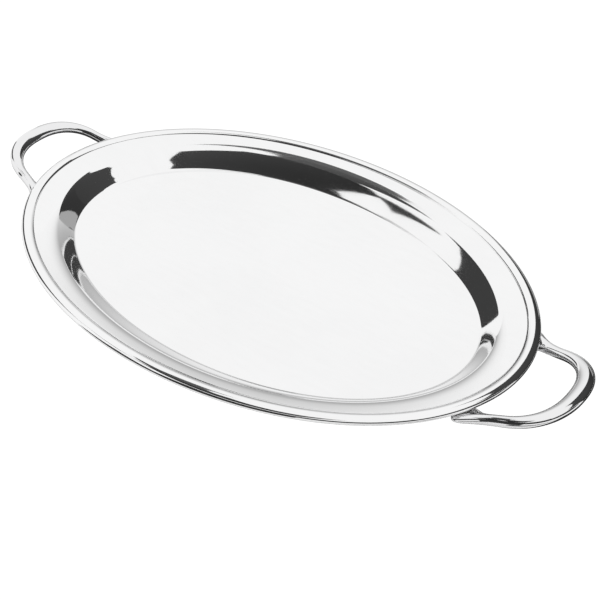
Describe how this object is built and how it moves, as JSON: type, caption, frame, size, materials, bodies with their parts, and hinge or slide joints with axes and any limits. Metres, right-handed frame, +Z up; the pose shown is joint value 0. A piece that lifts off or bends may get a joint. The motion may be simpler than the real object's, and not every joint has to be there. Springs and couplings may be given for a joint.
{
  "type": "serving tray",
  "caption": "Oval serving tray of polished steel: a shallow drawn pan with a raised flange, an oval rim border and a cast loop handle at each end.",
  "frame": {"origin": "on the surface the tray stands on, under the centre of the pan", "axes": "+X along the tray's length, through the middle of both handles, +Y across it, +Z up"},
  "size_m": [0.6058, 0.342, 0.0312],
  "materials": {
    "polished_sheet": "mirror-polished stainless steel sheet",
    "polished_moulding": "mirror-polished stainless steel moulding",
    "polished_casting": "mirror-polished stainless steel casting",
    "braze_metal": "dull silver braze"
  },
  "bodies": {
    "root": {"pan": "polished_sheet", "rim_border": "polished_moulding", "handle_right": "polished_casting", "handle_left": "polished_casting", "handle_brazes": "braze_metal"}
  },
  "joints": []
}
